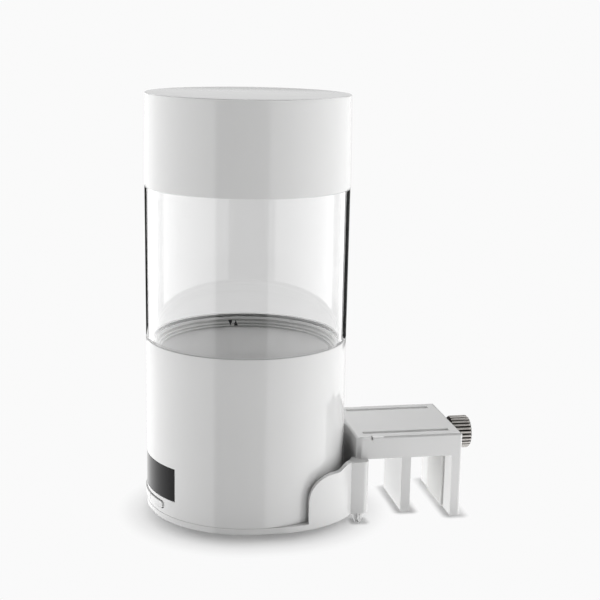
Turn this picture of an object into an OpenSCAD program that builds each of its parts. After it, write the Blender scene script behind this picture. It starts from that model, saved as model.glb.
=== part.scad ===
// Automatic fish feeder with a clear food bin and a rim clamp.
// Origin on the body's axis at the underside of the base; +X points to the clamp, the display faces -X.

/* [Body] */
// Outer radius of the base
body_r = 33; // [32:0.5:34]
// Height of the seam between the base and the bin
seam_z = 57.9; // [57:0.1:62]
// Thickness of the base plate
plate_t = 2.1; // [1.8:0.1:2.4]
// Wall of the base shell
shell_wall = 2; // [1.8:0.1:2.2]
// How far the base plate's lobe reaches towards the clamp
lobe_x = 6.5; // [6:0.1:7]

/* [Bin and lid] */
// Height of the seam between the bin and the lid
lid_seam_z = 107.1; // [95:0.1:120]
// Height of the lid's top face
top_z = 136.6; // [125:0.1:150]
// Outward lean of the bin wall from seam to seam
bin_draft = 0.2; // [0:0.05:0.3]
// Outward lean of the lid wall from top to bottom edge
lid_draft = 0.37; // [0.2:0.01:0.5]
// Thickness of the lid's top
lid_top_t = 2.2; // [1.5:0.1:3]
// Rounding of the lid's top edge
lid_edge_r = 0.9; // [0.5:0.1:1.5]

/* [Display and keys] */
// Half of the angle that the window covers
window_half = 38.45; // [34:0.05:39]
// Lower edge of the window
window_low = 7.6; // [7.5:0.1:9]
// Upper edge of the window
window_high = 18.7; // [17:0.1:24]
// Half of the angle that the key strip covers
keys_half = 28; // [27:0.1:30]
// Angle of the two gaps between the keys
keys_split = 12.5; // [10:0.5:13]
// Height of the key strip's middle line
key_z = 5; // [4.9:0.05:5.1]
// Height of the key strip
key_h = 2.1; // [2.1:0.1:3]
// How far the keys stand out of the shell
key_proud = 0.4; // [0.3:0.05:0.6]

/* [Dosing train] */
// Gear module
gear_m = 0.7; // [0.7]
// Teeth of the gear on the dosing wheel's shaft
wheel_teeth = 34; // [34]
// Teeth of the pinion on the motor
pinion_teeth = 17; // [17]
// Play between the teeth at the pitch circle
backlash = 0.16; // [0.12:0.02:0.2]
// Pockets in the dosing wheel
pockets = 6; // [4:1:6]
// Radius of a pocket
pocket_r = 4.6; // [4:0.1:4.8]
// Radius of the circle that the pockets lie on
pocket_ring_r = 20.5; // [20:0.1:21]
// Direction of the outlet from the axis
outlet_angle = 80; // [78:1:82]
// Direction of the feed window from the axis
feed_angle = -100; // [-110:1:-95]
// Direction of the motor from the axis
motor_angle = -60; // [-62:1:-58]

/* [Clamp] */
// Face of the arm next to the body
arm_near = 34.6; // [34.4:0.1:35]
// Outer face of the end jaw
arm_far = 70.8; // [68:0.1:72]
// Half of the arm's width
arm_half_w = 17.4; // [17:0.1:18]
// Top face of the arm
arm_top = 25.6; // [25:0.1:26]
// Lower edge of the arm's skirt, where it sits on the posts
seat_z = 18; // [17.8:0.1:18.4]
// Lowest point of the jaws
jaw_low = -3.4; // [-5:0.1:-2]
// Thickness of the end jaw
end_t = 3.5; // [3:0.1:3.8]
// Face of the sliding jaw that looks at the body
jaw_x = 51.7; // [50:0.1:53]
// Thickness of the sliding jaw
jaw_t = 3.2; // [2.8:0.1:3.4]
// Half of the sliding jaw's width
jaw_half_w = 11.5; // [11:0.1:12]
// Distance of the two guide slots from the middle
slot_y = 12.7; // [12.5:0.1:13]
// Width of a guide slot
slot_w = 2.2; // [2:0.1:2.4]
// Height of the clamp screw's axis
screw_z = 20.4; // [20.3:0.05:20.5]
// Radius of the clamp screw
screw_r = 2; // [2]
// Radius of the thumb knob
knob_r = 5.6; // [5:0.1:6]
// Ridges round the thumb knob
knob_ridges = 26; // [20:1:36]

/* [Hidden] */
$fn = 64;

white = "#f3f3f1";
dark = "#26282b";
steel = "#8f8f8c";
brass = "#b99a5b";
silicone = "#e9e9e6";
board_green = "#2f6b45";

big = 200;
gap = 0.1;
running = 0.05;

// Radii of the shell and of the lip that takes the bin's neck
shell_in = body_r - shell_wall;
lip_in = body_r - 1.05;
neck_out = lip_in - 0.25;
bin_in = neck_out - 1.3;
tube_in = body_r - 2;

// Heights of the stack under the bin
lip_z = seam_z - 6.9;
deck_top = seam_z - 11.9;
deck_t = 3;
deck_low = deck_top - deck_t;
wheel_low = deck_top + 0.4;
wheel_t = 5.5;
floor_low = wheel_low + wheel_t + 0.2;
floor_t = 1.5;
floor_top = floor_low + floor_t;
flange_t = 0.8;
seal_t = 0.8;
neck_low = lip_z + flange_t + seal_t + gap;
collar_top = seam_z - 1.1;
collar_out = bin_in - 0.3;
wheel_r = shell_in - 4.4;
ring_bore = wheel_r + 0.3;
floor_r = wheel_r + 0.7;

// Gear train
wheel_pitch_r = gear_m * wheel_teeth / 2;
pinion_pitch_r = gear_m * pinion_teeth / 2;
motor_dist = wheel_pitch_r + pinion_pitch_r;
gear_z = deck_low - 5;
gear_t = 4;
shaft_r = 2.5;
motor_shaft_r = 1.5;
gearbox_top = deck_low - 8;
bracket_t = 1.5;

// Screws that hold the stack together
pillar_r = 2.6;
pillar_ring_r = shell_in - 3.5;
pillar_angles = [55, -20, -100, 135];
boss_top = plate_t + 2;
deck_screw_ring_r = shell_in - 2.1;
deck_screw_angles = [20, 110, 200, 290];

// Key strip
key_r = body_r + key_proud;
strip_half_y = key_r * sin(keys_half);
split_y = key_r * sin(keys_split);
key_gap = 0.3;
switch_face = -26.5;
key_stem_end = switch_face - 0.7;
board_x = -24;
board_t = 1.6;

// Clamp
arm_wall = 2;
arm_edge_r = 1;
post_near = 31.5;
post_far = 38.2;
post_front = 20.8;
post_back = 14.2;
post_low = 0.5;
pin_x = 35.2;
pin_y = 17.5;
pin_r = 1.8;
foot_t = 1.4;
end_face = arm_far - end_t;
catch_x = 40;
catch_proud = 0.15;
pad_half_w = 8.7;
pad_top = 17;
pad_proud = 0.5;
pad_sunk = 1;
jaw_pad_t = 0.8;
knob_near = arm_far + 0.3;
knob_far = 78.1;

// Points of an arc about a centre, from angle a to angle b
function arc(cx, cy, r, a, b, n = 8) =
    [for (i = [0:n]) [cx + r * cos(a + (b - a) * i / n), cy + r * sin(a + (b - a) * i / n)]];

module polar(r, a) {
    translate([r * cos(a), r * sin(a), 0]) children();
}

module tube(r_out, r_in, z0, z1) {
    translate([0, 0, z0]) difference() {
        cylinder(r = r_out, h = z1 - z0);
        translate([0, 0, -1]) cylinder(r = r_in, h = z1 - z0 + 2);
    }
}

module disc(r, z0, z1) {
    translate([0, 0, z0]) cylinder(r = r, h = z1 - z0);
}

// A round bar along X
module bar_x(r, x0, x1) {
    translate([x0, 0, 0]) rotate([0, 90, 0]) cylinder(r = r, h = x1 - x0);
}

module box(x0, x1, y0, y1, z0, z1) {
    translate([x0, y0, z0]) cube([x1 - x0, y1 - y0, z1 - z0]);
}

// A drawing of Y and Z carried along X
module along_x(x0, x1) {
    translate([x0, 0, 0]) rotate([90, 0, 90]) linear_extrude(x1 - x0) children();
}

// A drawing of X and Z carried along Y
module along_y(y0, y1) {
    translate([0, y1, 0]) rotate([90, 0, 0]) linear_extrude(y1 - y0) children();
}

// A piece of a ring wall, centred on the display's direction
module display_sector(half, r0, r1, z0, z1) {
    rotate([0, 0, 180 - half]) rotate_extrude(angle = 2 * half, $fn = 128)
        translate([r0, z0]) square([r1 - r0, z1 - z0]);
}

module mirrored_y() {
    children();
    mirror([0, 1, 0]) children();
}

// Rectangle with chosen corner radii, in the order low-left, low-right, high-right, high-left
module rounded_rect(x0, x1, y0, y1, r) {
    corner = [[x0, y0, 1, 1, 180], [x1, y0, -1, 1, 270], [x1, y1, -1, -1, 0], [x0, y1, 1, -1, 90]];
    polygon([for (i = [0:3]) let (c = corner[i])
        each r[i] > 0 ? arc(c[0] + c[2] * r[i], c[1] + c[3] * r[i], r[i], c[4], c[4] + 90) : [[c[0], c[1]]]]);
}

// Outline of the base plate: the body's circle run out towards the clamp and cut straight
module plate_outline(inset = 0) {
    r = body_r - inset;
    intersection() {
        union() {
            circle(r, $fn = 128);
            translate([lobe_x, 0]) circle(r, $fn = 128);
            translate([0, -r]) square([lobe_x, 2 * r]);
        }
        translate([-big, -big]) square([big + post_far - inset, 2 * big]);
    }
}

// Side view of a wing: an elliptic shoulder, a level run and a sweep up to the post
wing_near = 15.9;
wing_level = 17.9;
wing_shoulder_x = 9.4;
wing_shoulder_z = 8.6;
wing_sweep_from = 26.4;
wing_sweep_to = 30.4;
wing_far = lobe_x + sqrt(pow(body_r, 2) - pow(post_front, 2));
module wing_profile() {
    top = seat_z + foot_t;
    mid_x = wing_near + wing_shoulder_x;
    mid_z = wing_level - wing_shoulder_z;
    shoulder = [for (i = [0:16]) let (a = 180 - 90 * i / 16)
        [mid_x + wing_shoulder_x * cos(a), mid_z + wing_shoulder_z * sin(a)]];
    sweep = [for (i = [0:10]) let (s = i / 10)
        [wing_sweep_from + (wing_sweep_to - wing_sweep_from) * s,
         wing_level + (top - wing_level) * (1 - cos(180 * s)) / 2]];
    polygon(concat([[wing_near, 0]], shoulder, sweep, [[big, top], [big, 0]]));
}

module wings() {
    wing_t = 1.8;
    intersection() {
        translate([lobe_x, 0, 0]) tube(body_r, body_r - wing_t, 0.5, arm_top, $fn = 128);
        box(wing_near, wing_far, -big, big, 0, big);
        along_y(-big, big) wing_profile();
    }
}

module post() {
    difference() {
        translate([0, 0, post_low]) linear_extrude(seat_z - post_low)
            rounded_rect(post_near, post_far, -post_front, -post_back, [0, 2, 0.6, 0]);
        translate([pin_x, -pin_y, 0]) cylinder(r = pin_r + 0.2, h = big);
        // Room for the body's shell
        disc(body_r + 0.3, 0, big);
    }
}

module base_plate() {
    color(white) difference() {
        union() {
            linear_extrude(0.5) plate_outline(0.4);
            translate([0, 0, 0.5]) linear_extrude(plate_t - 0.5) plate_outline();
            wings();
            mirrored_y() post();
            // Wall between the posts, under the arm
            box(arm_near, arm_near + 1.8, -post_back - 1, post_back + 1, plate_t - 0.8, seat_z - gap);
            // Spigot inside the shell, open at the keys and at the socket
            difference() {
                tube(shell_in - gap, shell_in - 1.4, plate_t, boss_top);
                box(-big, -20, -big, big, 0, big);
                rotate([0, 0, usb_angle]) box(20, big, -7, 7, 0, big);
            }
            for (a = pillar_angles) polar(pillar_ring_r, a) disc(3.4, 0, boss_top);
            // Cup for the battery
            translate(battery_at) tube(battery_r + 1.4, battery_r + gap, plate_t, plate_t + 7);
            // Pedestal of the charging socket
            rotate([0, 0, usb_angle]) box(shell_in - 7, shell_in - 0.4, -4, 4, plate_t, usb_z - 1.6);
            mirrored_y() board_guide();
        }
        polar(pocket_ring_r, outlet_angle) disc(6.5, -1, big);
        for (a = pillar_angles) polar(pillar_ring_r, a) {
            disc(1.3, -1, big);
            disc(2.5, -1, 2.4);
        }
        mirrored_y() translate([pin_x, -pin_y, -1]) cylinder(r = pin_r + 0.2, h = big);
        // Underside stands clear round the barbs of the arm's pins
        mirrored_y() box(post_near, big, -post_front - 3, -post_back + 1, -1, post_low);
    }
}

module board_guide() {
    difference() {
        box(board_x - 1, board_x + board_t + 1.6, 14.6, 17, plate_t, 12);
        box(board_x, board_x + board_t, 0, 16, 0, big);
        // The front lip stays above the keys
        box(-big, board_x, 0, big, 0, key_z + 2.3);
    }
}

module body_shell() {
    color(white) difference() {
        rotate_extrude($fn = 128) polygon([
            [shell_in, plate_t], [body_r, plate_t], [body_r, seam_z], [lip_in, seam_z], [lip_in, lip_z],
            [shell_in, lip_z]]);
        display_sector(window_half, body_r - 1.2, body_r + 1, window_low, window_high);
        display_sector(window_half - 2.5, shell_in - 1, body_r, window_low + 1.4, window_high - 1.4);
        along_x(-big, -20) key_strip(0.25);
        rotate([0, 0, usb_angle]) translate([0, 0, usb_z]) along_x(20, big) usb_outline(0.2);
    }
}

module display_window() {
    color(dark)
        display_sector(window_half - 0.15, body_r - 1.15, body_r, window_low + gap, window_high - gap);
}

module display_module() {
    color(dark) difference() {
        box(board_x - 3.5, board_x, -13, 13, window_low + 0.8, window_high - 0.4);
        // Viewing area
        box(board_x - 4, board_x - 3.2, -11.5, 11.5, window_low + 2.2, window_high - 1.8);
    }
}

module control_board() {
    color(board_green) box(board_x, board_x + board_t, -16, 16, plate_t, 34);
}

// Middle line of each key, from left to right as the user sees them
key_places = [for (s = [1, 0, -1]) s * (strip_half_y + split_y) / 2];

module tact_switches() {
    color(steel) for (y = key_places) translate([0, y, key_z]) {
        box(board_x - 1.9, board_x, -1.8, 1.8, -1.6, 1.6);
        bar_x(0.7, switch_face, board_x - 1.5);
    }
}

// Outline of the key strip in Y and Z, with square ends if no ends are round
module key_strip(clear = 0) {
    r = key_h / 2 + clear;
    end = strip_half_y - key_h / 2;
    translate([0, key_z]) {
        translate([-end, -r]) square([2 * end, 2 * r]);
        for (s = [-1, 1]) translate([s * end, 0]) circle(r);
    }
}

// One key: the cap out of the strip, a flange behind the wall and a stem to its switch
module key(y0, y1) {
    middle = key_places[y0 > 0 ? 0 : y1 < 0 ? 2 : 1];
    color(white) {
        intersection() {
            tube(key_r, shell_in - 1, 0, 20, $fn = 128);
            along_x(-big, -20) intersection() {
                key_strip();
                translate([y0, 0]) square([y1 - y0, 20]);
            }
        }
        intersection() {
            tube(shell_in - 0.2, shell_in - 1.2, 0, 20, $fn = 128);
            box(-big, -20, max(y0, -strip_half_y), min(y1, strip_half_y), key_z - 1.9, key_z + 1.9);
        }
        box(-sqrt(pow(shell_in - 0.6, 2) - pow(abs(middle) - 1.2, 2)), key_stem_end,
            middle - 1.2, middle + 1.2, key_z - 1, key_z + 1);
    }
}

module key_left() { key(split_y + key_gap / 2, 20); }
module key_middle() { key(-split_y + key_gap / 2, split_y - key_gap / 2); }
module key_right() { key(-20, -split_y - key_gap / 2); }

// Charging socket on the hidden side
usb_angle = 108;
usb_z = 10;
module usb_outline(clear = 0) {
    r = 1.6 + clear;
    translate([-2.9, -r]) square([5.8, 2 * r]);
    for (s = [-1, 1]) translate([s * 2.9, 0]) circle(r);
}

module usb_socket() {
    color(steel) rotate([0, 0, usb_angle]) translate([0, 0, usb_z]) difference() {
        along_x(shell_in - 7, body_r - 0.4) usb_outline();
        along_x(shell_in - 6, body_r) usb_outline(-0.3);
    }
}

battery_r = 8.2;
battery_h = 34;
battery_at = [17.5, 8, 0];
module battery_cell() {
    color("steelblue") translate(battery_at) {
        disc(battery_r, plate_t, plate_t + battery_h);
        disc(2.6, plate_t + battery_h, plate_t + battery_h + 1);
    }
}

module gear_motor() {
    color(steel) polar(motor_dist, motor_angle) rotate([0, 0, motor_angle]) difference() {
        union() {
            box(-5, 5, -6, 6, gearbox_top - 9, gearbox_top);
            intersection() {
                disc(6, gearbox_top - 24, gearbox_top - 9);
                box(-5, 5, -6, 6, 0, big);
            }
            disc(2.5, gearbox_top - 25, gearbox_top - 24);
        }
        disc(motor_shaft_r + running, gearbox_top - 8, big);
    }
}

module motor_bracket() {
    leg_y = 10.5;
    color(white) polar(motor_dist, motor_angle) rotate([0, 0, motor_angle]) {
        difference() {
            translate([0, 0, gearbox_top]) linear_extrude(bracket_t) {
                translate([-4, -leg_y]) square([8, 2 * leg_y]);
                for (s = [-1, 1]) translate([0, s * leg_y]) circle(4);
            }
            disc(motor_shaft_r + 0.7, 0, big);
        }
        for (s = [-1, 1]) translate([0, s * leg_y, 0]) disc(2, gearbox_top + bracket_t, deck_low);
    }
}

module rotor_deck() {
    color(white) difference() {
        union() {
            disc(shell_in - 0.3, deck_low, deck_top, $fn = 128);
            for (a = pillar_angles) polar(pillar_ring_r, a) disc(pillar_r, boss_top, deck_low);
        }
        disc(4.2, 0, big);
        polar(pocket_ring_r, outlet_angle) disc(5.2, 0, big);
        for (a = pillar_angles) polar(pillar_ring_r, a) disc(1.25, 0, boss_top + 10);
        for (a = deck_screw_angles) polar(deck_screw_ring_r, a) disc(1.15, 0, big);
    }
}

module shaft_bush() {
    color(brass) tube(4.2, shaft_r + running, deck_low - 0.7, deck_top + 0.2);
}

module outlet_chute() {
    color(white) polar(pocket_ring_r, outlet_angle) {
        tube(6.4, 5.2, 0.3, deck_low);
        tube(7.4, 6.4, deck_low - 1.2, deck_low);
    }
}

// Seat of the bin: outer collar, stepped inside like a funnel, over the dosing wheel's chamber
module hopper_ring() {
    step = (collar_top - floor_top) / 3;
    lip = collar_out - floor_r;
    color(white) difference() {
        rotate_extrude($fn = 128) polygon([
            [ring_bore, deck_top], [shell_in - gap, deck_top], [shell_in - gap, lip_z], [neck_out, lip_z],
            [neck_out, lip_z + flange_t], [collar_out, lip_z + flange_t], [collar_out, collar_top],
            [floor_r + 0.92 * lip, collar_top], [floor_r + 0.76 * lip, floor_top + 2 * step],
            [floor_r + 0.58 * lip, floor_top + 2 * step], [floor_r + 0.44 * lip, floor_top + step],
            [floor_r + 0.14 * lip, floor_top + step], [floor_r + gap, floor_top],
            [floor_r + gap, floor_low], [ring_bore, floor_low]]);
        for (a = deck_screw_angles) polar(deck_screw_ring_r, a) disc(1.15, 0, deck_top + 3.5);
    }
}

// Floor of the bin, with one window into the dosing wheel
module floor_disc() {
    half = 18;
    color("#b9b9b6") difference() {
        disc(floor_r, floor_low, floor_top, $fn = 128);
        rotate([0, 0, feed_angle - half]) rotate_extrude(angle = 2 * half)
            translate([pocket_ring_r - 2.5, 0]) square([7, big]);
    }
}

// Screw with its head down and its tip up
module screw(r, head_r, head_h, length) {
    disc(head_r, 0, head_h);
    disc(r, head_h, head_h + length);
}

module base_screws() {
    color(steel) for (a = pillar_angles) polar(pillar_ring_r, a) difference() {
        translate([0, 0, 0.6]) screw(1.2, 2.2, 1.8, 9);
        box(-1.6, 1.6, -0.25, 0.25, 0, 1.2);
        box(-0.25, 0.25, -1.6, 1.6, 0, 1.2);
    }
}

module deck_screws() {
    color(steel) for (a = deck_screw_angles) polar(deck_screw_ring_r, a)
        translate([0, 0, deck_low - 1.6]) screw(1.1, 1.9, 1.6, 6);
}

// Arm, end jaw, feet and split pins are one moulding
module clamp_arm() {
    r = arm_edge_r;
    color(white) {
        difference() {
            intersection() {
                along_y(-arm_half_w, arm_half_w) {
                    rounded_rect(arm_near, arm_far, seat_z, arm_top, [0, 0, r, r]);
                    rounded_rect(end_face, arm_far, jaw_low, arm_top - r, [0.4, 0.4, 0, 0]);
                }
                translate([0, 0, -big]) linear_extrude(2 * big)
                    rounded_rect(arm_near, arm_far, -arm_half_w, arm_half_w, [2, 1, 1, 2]);
                along_x(0, big) rounded_rect(-arm_half_w, arm_half_w, -big, arm_top, [0, 0, r, r]);
            }
            box(arm_near + arm_wall, end_face, -arm_half_w + arm_wall, arm_half_w - arm_wall,
                0, arm_top - arm_wall);
            mirrored_y() translate([0, slot_y, arm_top - 3]) linear_extrude(6) {
                translate([37.5, -slot_w / 2]) square([29.7, slot_w]);
            }
            translate([0, 0, screw_z]) bar_x(3.2, end_face - 1, big);
            box(end_face - 1, end_face + pad_sunk, -pad_half_w - 0.5, pad_half_w + 0.5, -big, pad_top + 0.5);
            // Slit beside the square-edged catch
            mirrored_y() box(catch_x - 1, catch_x - 0.2, -big, -arm_half_w + 1.4, arm_top - 1.5, big);
        }
        mirrored_y() box(catch_x, catch_x + 3.8, -arm_half_w - catch_proud, -arm_half_w + 1.2,
            arm_top - 2.1, arm_top + catch_proud);
        mirrored_y() foot_and_pin();
    }
}

module foot_and_pin() {
    tip_z = jaw_low;
    slit_w = 0.7;
    translate([0, 0, seat_z]) linear_extrude(foot_t)
        rounded_rect(wing_far + gap, post_far, -post_front, -arm_half_w + 0.5, [0.6, 2, 0.3, 0.3]);
    translate([pin_x, -pin_y, 0]) difference() {
        union() {
            disc(pin_r, post_low - 0.1, seat_z + foot_t);
            // Arrow-head barb
            translate([0, 0, tip_z]) cylinder(r1 = 1, r2 = 2.5, h = post_low - 0.1 - tip_z);
        }
        box(-slit_w / 2, slit_w / 2, -big, big, tip_z - 1, 7);
    }
}

module screw_bush() {
    color(brass) translate([0, 0, screw_z]) difference() {
        bar_x(3.2, end_face, arm_far);
        bar_x(screw_r + running, 0, big);
    }
}

module end_jaw_pad() {
    color(silicone)
        box(end_face - pad_proud, end_face + pad_sunk, -pad_half_w, pad_half_w, jaw_low + 0.3, pad_top);
}

// Dosing wheel: pockets that carry one portion each past the feed window
module dosing_wheel() {
    color("#d9d9d6") difference() {
        disc(wheel_r, wheel_low, wheel_low + wheel_t, $fn = 128);
        for (i = [0:pockets - 1]) polar(pocket_ring_r, outlet_angle + (i + 0.5) * 360 / pockets)
            disc(pocket_r, 0, big);
        disc(shaft_r, 0, big);
        // Recess that keeps the wheel light
        tube(13, 6, wheel_low + 1.6, big);
    }
}

module rotor_shaft() {
    color(steel) disc(shaft_r, gear_z - 1.4, wheel_low + wheel_t - 0.5);
}

// Involute tooth, as half-angles at radii from root to tip
function involute(r, base_r) = let (a = acos(min(1, base_r / r))) tan(a) * 180 / PI - a;
function tooth_half(r, pitch_r, n) =
    90 / n - backlash / 2 / pitch_r * 180 / PI + involute(pitch_r, pitch_r * cos(20))
    - involute(r, pitch_r * cos(20));

module gear(n, bore_r, z0, z1) {
    pitch_r = gear_m * n / 2;
    root_r = pitch_r - 1.25 * gear_m;
    tip_r = pitch_r + gear_m * 0.95;
    radii = [for (i = [0:4]) root_r + (tip_r - root_r) * i / 4];
    flank = [for (r = radii) [r, tooth_half(r, pitch_r, n)]];
    points = [for (t = [0:n - 1]) each concat(
        [for (i = [0:4]) let (a = t * 360 / n - flank[i][1]) flank[i][0] * [cos(a), sin(a)]],
        [for (i = [4:-1:0]) let (a = t * 360 / n + flank[i][1]) flank[i][0] * [cos(a), sin(a)]])];
    difference() {
        translate([0, 0, z0]) linear_extrude(z1 - z0) polygon(points);
        disc(bore_r, 0, big);
    }
}

module rotor_gear() {
    color("#e3dcc6") rotate([0, 0, motor_angle]) gear(wheel_teeth, shaft_r, gear_z, gear_z + gear_t);
}

module shaft_clip() {
    color(steel) tube(4.2, shaft_r, gear_z - 1.1, gear_z - 0.2);
}

// A gap of the pinion faces a tooth of the gear
module drive_pinion() {
    color(brass) polar(motor_dist, motor_angle) rotate([0, 0, motor_angle + 180 + 180 / pinion_teeth])
        gear(pinion_teeth, motor_shaft_r, gear_z - 0.4, gear_z + gear_t + 0.4);
}

module motor_shaft() {
    color(steel) polar(motor_dist, motor_angle) disc(motor_shaft_r, gearbox_top - 7.5, gear_z + gear_t + 0.6);
}

module clamp_screw() {
    color(steel) translate([0, 0, screw_z]) bar_x(screw_r, arm_near + arm_wall + 0.6, knob_far - 2);
}

// Straight knurl with both rims chamfered
module thumb_knob() {
    depth = 0.45;
    step = 360 / knob_ridges;
    // Each ridge as angle in steps and radius
    ridge = [[-0.5, knob_r - depth], [-0.36, knob_r - depth], [-0.16, knob_r], [0.16, knob_r],
        [0.36, knob_r - depth]];
    points = [for (i = [0:knob_ridges - 1], p = ridge)
        p[1] * [cos((i + p[0]) * step), sin((i + p[0]) * step)]];
    chamfer = 0.7;
    length = knob_far - knob_near;
    color(steel) translate([0, 0, screw_z]) difference() {
        intersection() {
            along_x(knob_near, knob_far) polygon(points);
            translate([knob_near, 0, 0]) rotate([0, 90, 0]) rotate_extrude() polygon([
                [0, 0], [knob_r - chamfer, 0], [knob_r + 0.1, chamfer], [knob_r + 0.1, length - chamfer],
                [knob_r - chamfer, length], [0, length]]);
        }
        bar_x(screw_r, 0, knob_far - 2);
    }
}

module screw_clip() {
    color(steel) translate([0, 0, screw_z]) difference() {
        bar_x(2.7, end_face - 1.1, end_face - 0.2);
        bar_x(screw_r, 0, big);
    }
}

// Jaw plate with shoulders and guide lugs under the slots, and a block for the nut
nut_r = 2.75;
block_near = jaw_x - 4.7;
module sliding_jaw() {
    roof = arm_top - arm_wall - 0.2;
    far = jaw_x + jaw_t;
    color(white) difference() {
        union() {
            along_y(-jaw_half_w, jaw_half_w)
                rounded_rect(jaw_x, far, jaw_low, roof, [0.5, 0.5, 0, 0]);
            mirrored_y() {
                box(jaw_x, far, slot_y - 3, slot_y + 1.1, seat_z + 0.8, roof);
                box(jaw_x, far, slot_y - slot_w / 2 + 0.2, slot_y + slot_w / 2 - 0.2, roof, roof + 1.4);
            }
            box(block_near, far, -5, 5, screw_z - 3.6, roof);
        }
        translate([0, 0, screw_z]) bar_x(nut_r, 0, big);
    }
}

module jaw_nut() {
    color(brass) translate([0, 0, screw_z]) difference() {
        bar_x(nut_r, block_near, jaw_x + jaw_t);
        bar_x(screw_r + running, 0, big);
    }
}

module jaw_pad() {
    far = jaw_x + jaw_t;
    color(silicone) box(far, far + jaw_pad_t, -pad_half_w, pad_half_w, jaw_low + 0.6, 15.5);
}

module bin_seal() {
    seat = lip_z + flange_t;
    color(silicone) tube(neck_out - 0.1, bin_in + gap, seat, seat + seal_t, $fn = 128);
}

// Clear bin: neck in the base, tube, and a rim with a seal groove under the lid
rim_out = body_r - 1.4;
rim_top = lid_seam_z + 10.5;
groove_z = lid_seam_z + 5;
groove_h = 1.6;
groove_r = rim_out - 0.5;
module food_bin() {
    body_top_r = body_r + bin_draft;
    rim_in = bin_in - 0.2;
    color([0.9, 0.94, 0.96, 0.35]) rotate_extrude($fn = 128) polygon([
        [bin_in, neck_low], [neck_out, neck_low], [neck_out, seam_z + gap], [body_r, seam_z + gap],
        [body_top_r, lid_seam_z - gap], [rim_out, lid_seam_z - gap], [rim_out, groove_z],
        [groove_r, groove_z], [groove_r, groove_z + groove_h], [rim_out, groove_z + groove_h],
        [rim_out, rim_top - 0.6], [rim_out - 0.6, rim_top], [rim_in, rim_top], [rim_in, groove_z],
        [tube_in, lid_seam_z - 2], [tube_in, collar_top + gap], [bin_in, collar_top - 0.5]]);
}

lid_in = rim_out + 0.3;
module lid_seal() {
    color(silicone) tube(lid_in - 0.08, groove_r, groove_z + 0.1, groove_z + groove_h - 0.1, $fn = 128);
}

module lid() {
    color(white) rotate_extrude($fn = 128) polygon(concat(
        [[0, top_z - lid_top_t], [lid_in, top_z - lid_top_t], [lid_in, lid_seam_z],
         [body_r + lid_draft, lid_seam_z]],
        arc(body_r - lid_edge_r, top_z - lid_edge_r, lid_edge_r, 0, 90, 6),
        [[0, top_z]]));
}

base_plate();
body_shell();
display_window();
display_module();
control_board();
tact_switches();
usb_socket();
battery_cell();
gear_motor();
motor_bracket();
rotor_deck();
shaft_bush();
outlet_chute();
hopper_ring();
floor_disc();
base_screws();
deck_screws();
clamp_arm();
screw_bush();
end_jaw_pad();
dosing_wheel();
rotor_shaft();
rotor_gear();
shaft_clip();
drive_pinion();
motor_shaft();
clamp_screw();
thumb_knob();
screw_clip();
sliding_jaw();
jaw_nut();
jaw_pad();
key_left();
key_middle();
key_right();
bin_seal();
food_bin();
lid_seal();
lid();
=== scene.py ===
# %% [markdown]
# Automatic fish feeder: a white drum with a clear food bin, a lid and a rim clamp.
#
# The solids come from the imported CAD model, which also knows which pieces move together. This script
# gives each of them the surface and the finish that the eye expects: rounded edges, moulded plastic,
# a clear wall that really bends light, knurled metal and a cut thread. Lengths are in millimetres in
# the text and turn into metres where they reach Blender.

# %% Load the frame
import math

import bmesh
import bpy
import numpy as np
from mathutils import Matrix


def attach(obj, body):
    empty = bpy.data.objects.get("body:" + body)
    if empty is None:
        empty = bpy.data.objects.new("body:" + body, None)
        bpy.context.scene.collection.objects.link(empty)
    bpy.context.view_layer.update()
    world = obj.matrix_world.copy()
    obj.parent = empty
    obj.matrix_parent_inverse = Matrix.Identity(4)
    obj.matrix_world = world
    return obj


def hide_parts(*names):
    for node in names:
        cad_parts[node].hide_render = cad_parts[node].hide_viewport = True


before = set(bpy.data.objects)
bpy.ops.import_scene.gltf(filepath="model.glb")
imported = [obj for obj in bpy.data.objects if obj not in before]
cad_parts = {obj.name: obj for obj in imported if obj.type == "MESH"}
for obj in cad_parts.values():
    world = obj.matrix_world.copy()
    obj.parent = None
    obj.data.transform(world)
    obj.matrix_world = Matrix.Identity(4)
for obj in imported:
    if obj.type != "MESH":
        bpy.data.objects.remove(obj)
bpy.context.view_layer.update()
MM = 0.001

# %% [markdown]
# ## The camera
#
# The photograph was taken from a little above, from the front and slightly to the left, with a longish
# lens. A camera has a place and three directions: right, up and forward. Writing those three down as
# the columns of a matrix is plainer than three nested rotations, and a small roll is one more turn of
# right and up about the line of sight.

# %% Camera
HEADING, PITCH, ROLL = (math.radians(a) for a in (11.0, 12.44, 1.04))
EYE = np.array([-63.1, -416.6, 162.2])
LENS, SENSOR_WIDTH = 78.52, 36
NEAREST_M, FARTHEST_M = 0.01, 50


def unit(v):
    """A vector divided by its own length."""
    return np.asarray(v, float) / np.linalg.norm(v)


to_right = unit([math.cos(HEADING), -math.sin(HEADING), 0])
ahead_level = unit([math.sin(HEADING), math.cos(HEADING), 0])
ahead = ahead_level * math.cos(PITCH) - np.array([0, 0, math.sin(PITCH)])
upward = np.cross(to_right, ahead)
right_rolled = math.cos(ROLL) * to_right + math.sin(ROLL) * upward
up_rolled = math.cos(ROLL) * upward - math.sin(ROLL) * to_right

lens = bpy.data.cameras.new("photo_lens")
lens.lens, lens.sensor_width = LENS, SENSOR_WIDTH
lens.clip_start, lens.clip_end = NEAREST_M, FARTHEST_M
camera = bpy.data.objects.new("photo_camera", lens)
placing = np.eye(4)
placing[:3, 0], placing[:3, 1], placing[:3, 2] = right_rolled, up_rolled, -ahead
placing[:3, 3] = EYE * MM
camera.matrix_world = Matrix(placing.tolist())
bpy.context.scene.collection.objects.link(camera)
bpy.context.scene.camera = camera
bpy.context.scene.view_settings.view_transform = "Standard"
print("camera at", EYE, "mm, lens", LENS, "mm")

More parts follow.
